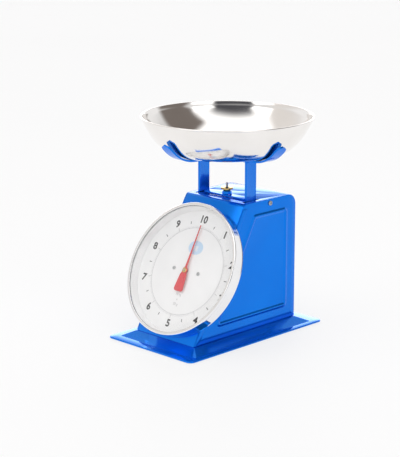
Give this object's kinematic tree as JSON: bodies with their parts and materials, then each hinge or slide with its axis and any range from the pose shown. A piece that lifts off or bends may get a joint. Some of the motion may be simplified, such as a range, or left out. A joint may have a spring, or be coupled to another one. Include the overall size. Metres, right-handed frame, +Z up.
{
  "type": "bench dial spring scale",
  "caption": "Bench-top spring scale with a sloping round dial, a blue sheet-steel housing and a lift-off stainless bowl on a cross-shaped seat.",
  "frame": {"origin": "centre of the bounding box in plan, on the plane that the rubber feet stand on", "axes": "+Z up; -Y is the front, where the dial is; +X is to the right of someone reading the dial"},
  "size_m": [0.28, 0.3194, 0.3556],
  "materials": {
    "blue_paint": "glossy blue enamel on pressed steel",
    "stainless": "polished stainless",
    "chrome": "bright chrome",
    "steel": "zinc-plated steel",
    "brass": "turned brass",
    "dial_print": "white enamel with plain numbers",
    "pointer_red": "red paint",
    "glass": "clear flat window",
    "foot_rubber": "moulded rubber"
  },
  "bodies": {
    "root": {"base_plate": "blue_paint", "foot_front_left": "foot_rubber", "foot_front_right": "foot_rubber", "foot_rear_left": "foot_rubber", "foot_rear_right": "foot_rubber", "body_shell": "blue_paint", "side_panel_left": "blue_paint", "side_panel_right": "blue_paint", "side_screw_left": "steel", "side_screw_right": "steel", "rear_cover": "blue_paint", "rear_screw_left": "steel", "rear_screw_right": "steel", "bridge_strap": "blue_paint", "adjuster_boss": "blue_paint", "dial_pan": "steel", "dial_plate": "dial_print", "dial_inner_ring": "chrome", "dial_glass": "glass", "bezel_ring": "chrome", "dial_screw_left": "steel", "dial_screw_right": "steel", "spindle_bracket": "steel", "spindle_bush_front": "brass", "spindle_bush_rear": "brass", "chassis_upright_left": "steel", "chassis_upright_right": "steel", "lower_link_pin_rear": "steel", "upper_link_pin_rear": "steel"},
    "load_column": {"post_left": "blue_paint", "post_right": "blue_paint", "bowl_spider": "blue_paint", "seat_rivet_left_inner": "blue_paint", "seat_rivet_left_outer": "blue_paint", "seat_rivet_right_inner": "blue_paint", "seat_rivet_right_outer": "blue_paint", "lower_crossbar": "steel", "upper_crossbar": "steel", "lower_crossbar_screw_left": "steel", "lower_crossbar_screw_right": "steel", "upper_crossbar_screw_left": "steel", "upper_crossbar_screw_right": "steel", "lower_link_pin_front": "steel", "upper_link_pin_front": "steel", "rack_bracket": "steel", "rack": "brass"},
    "bowl_body": {"bowl": "stainless"},
    "pointer_spindle": {"spindle": "steel", "pinion": "brass", "pointer_hub": "brass", "pointer": "pointer_red"},
    "zero_nut_body": {"zero_nut": "brass"},
    "spring_hanger": {"zero_rod": "steel", "spring_beam": "steel", "spring_left": "steel", "spring_right": "steel"},
    "lower_link": {"guide_link_lower": "steel"},
    "upper_link": {"guide_link_upper": "steel"}
  },
  "joints": [
    {"name": "load_travel", "type": "slide", "parent": "root", "child": "load_column", "axis": [0, 0, -1], "range_m": [0, 0.02502], "stiffness_N_per_m": 3920, "springref_m": -0.004, "deforming": ["spring_left", "spring_right"]},
    {"name": "pointer_turn", "type": "hinge", "parent": "root", "child": "pointer_spindle", "pos_m": [0, -0.06828, 0.1115], "axis": [0, 0.8788, -0.4772], "range_deg": [0, 360]},
    {"name": "lower_link_swing", "type": "hinge", "parent": "root", "child": "lower_link", "pos_m": [0, 0.09938, 0.13049], "axis": [1, 0, 0], "range_deg": [0, 24.1]},
    {"name": "upper_link_swing", "type": "hinge", "parent": "root", "child": "upper_link", "pos_m": [0, 0.09938, 0.17449], "axis": [1, 0, 0], "range_deg": [0, 24.1]},
    {"name": "bowl_lift", "type": "slide", "parent": "load_column", "child": "bowl_body", "axis": [0, 0, 1], "range_m": [0, 0.12]},
    {"name": "zero_nut_turn", "type": "hinge", "parent": "root", "child": "zero_nut_body", "pos_m": [0, 0.0197, 0.2347], "axis": [0, 0, 1], "range_deg": [-721, 721]},
    {"name": "hanger_lift", "type": "slide", "parent": "root", "child": "spring_hanger", "axis": [0, 0, 1], "range_m": [-0.0016, 0.0016]}
  ],
  "couplings": [
    {"joint": "pointer_turn", "follows": "load_travel", "rad_per_m": 251.09},
    {"joint": "lower_link_swing", "follows": "load_travel", "rad_per_m": 16.79},
    {"joint": "upper_link_swing", "follows": "load_travel", "rad_per_m": 16.79},
    {"joint": "zero_nut_turn", "follows": "hanger_lift", "rad_per_m": -7854}
  ]
}
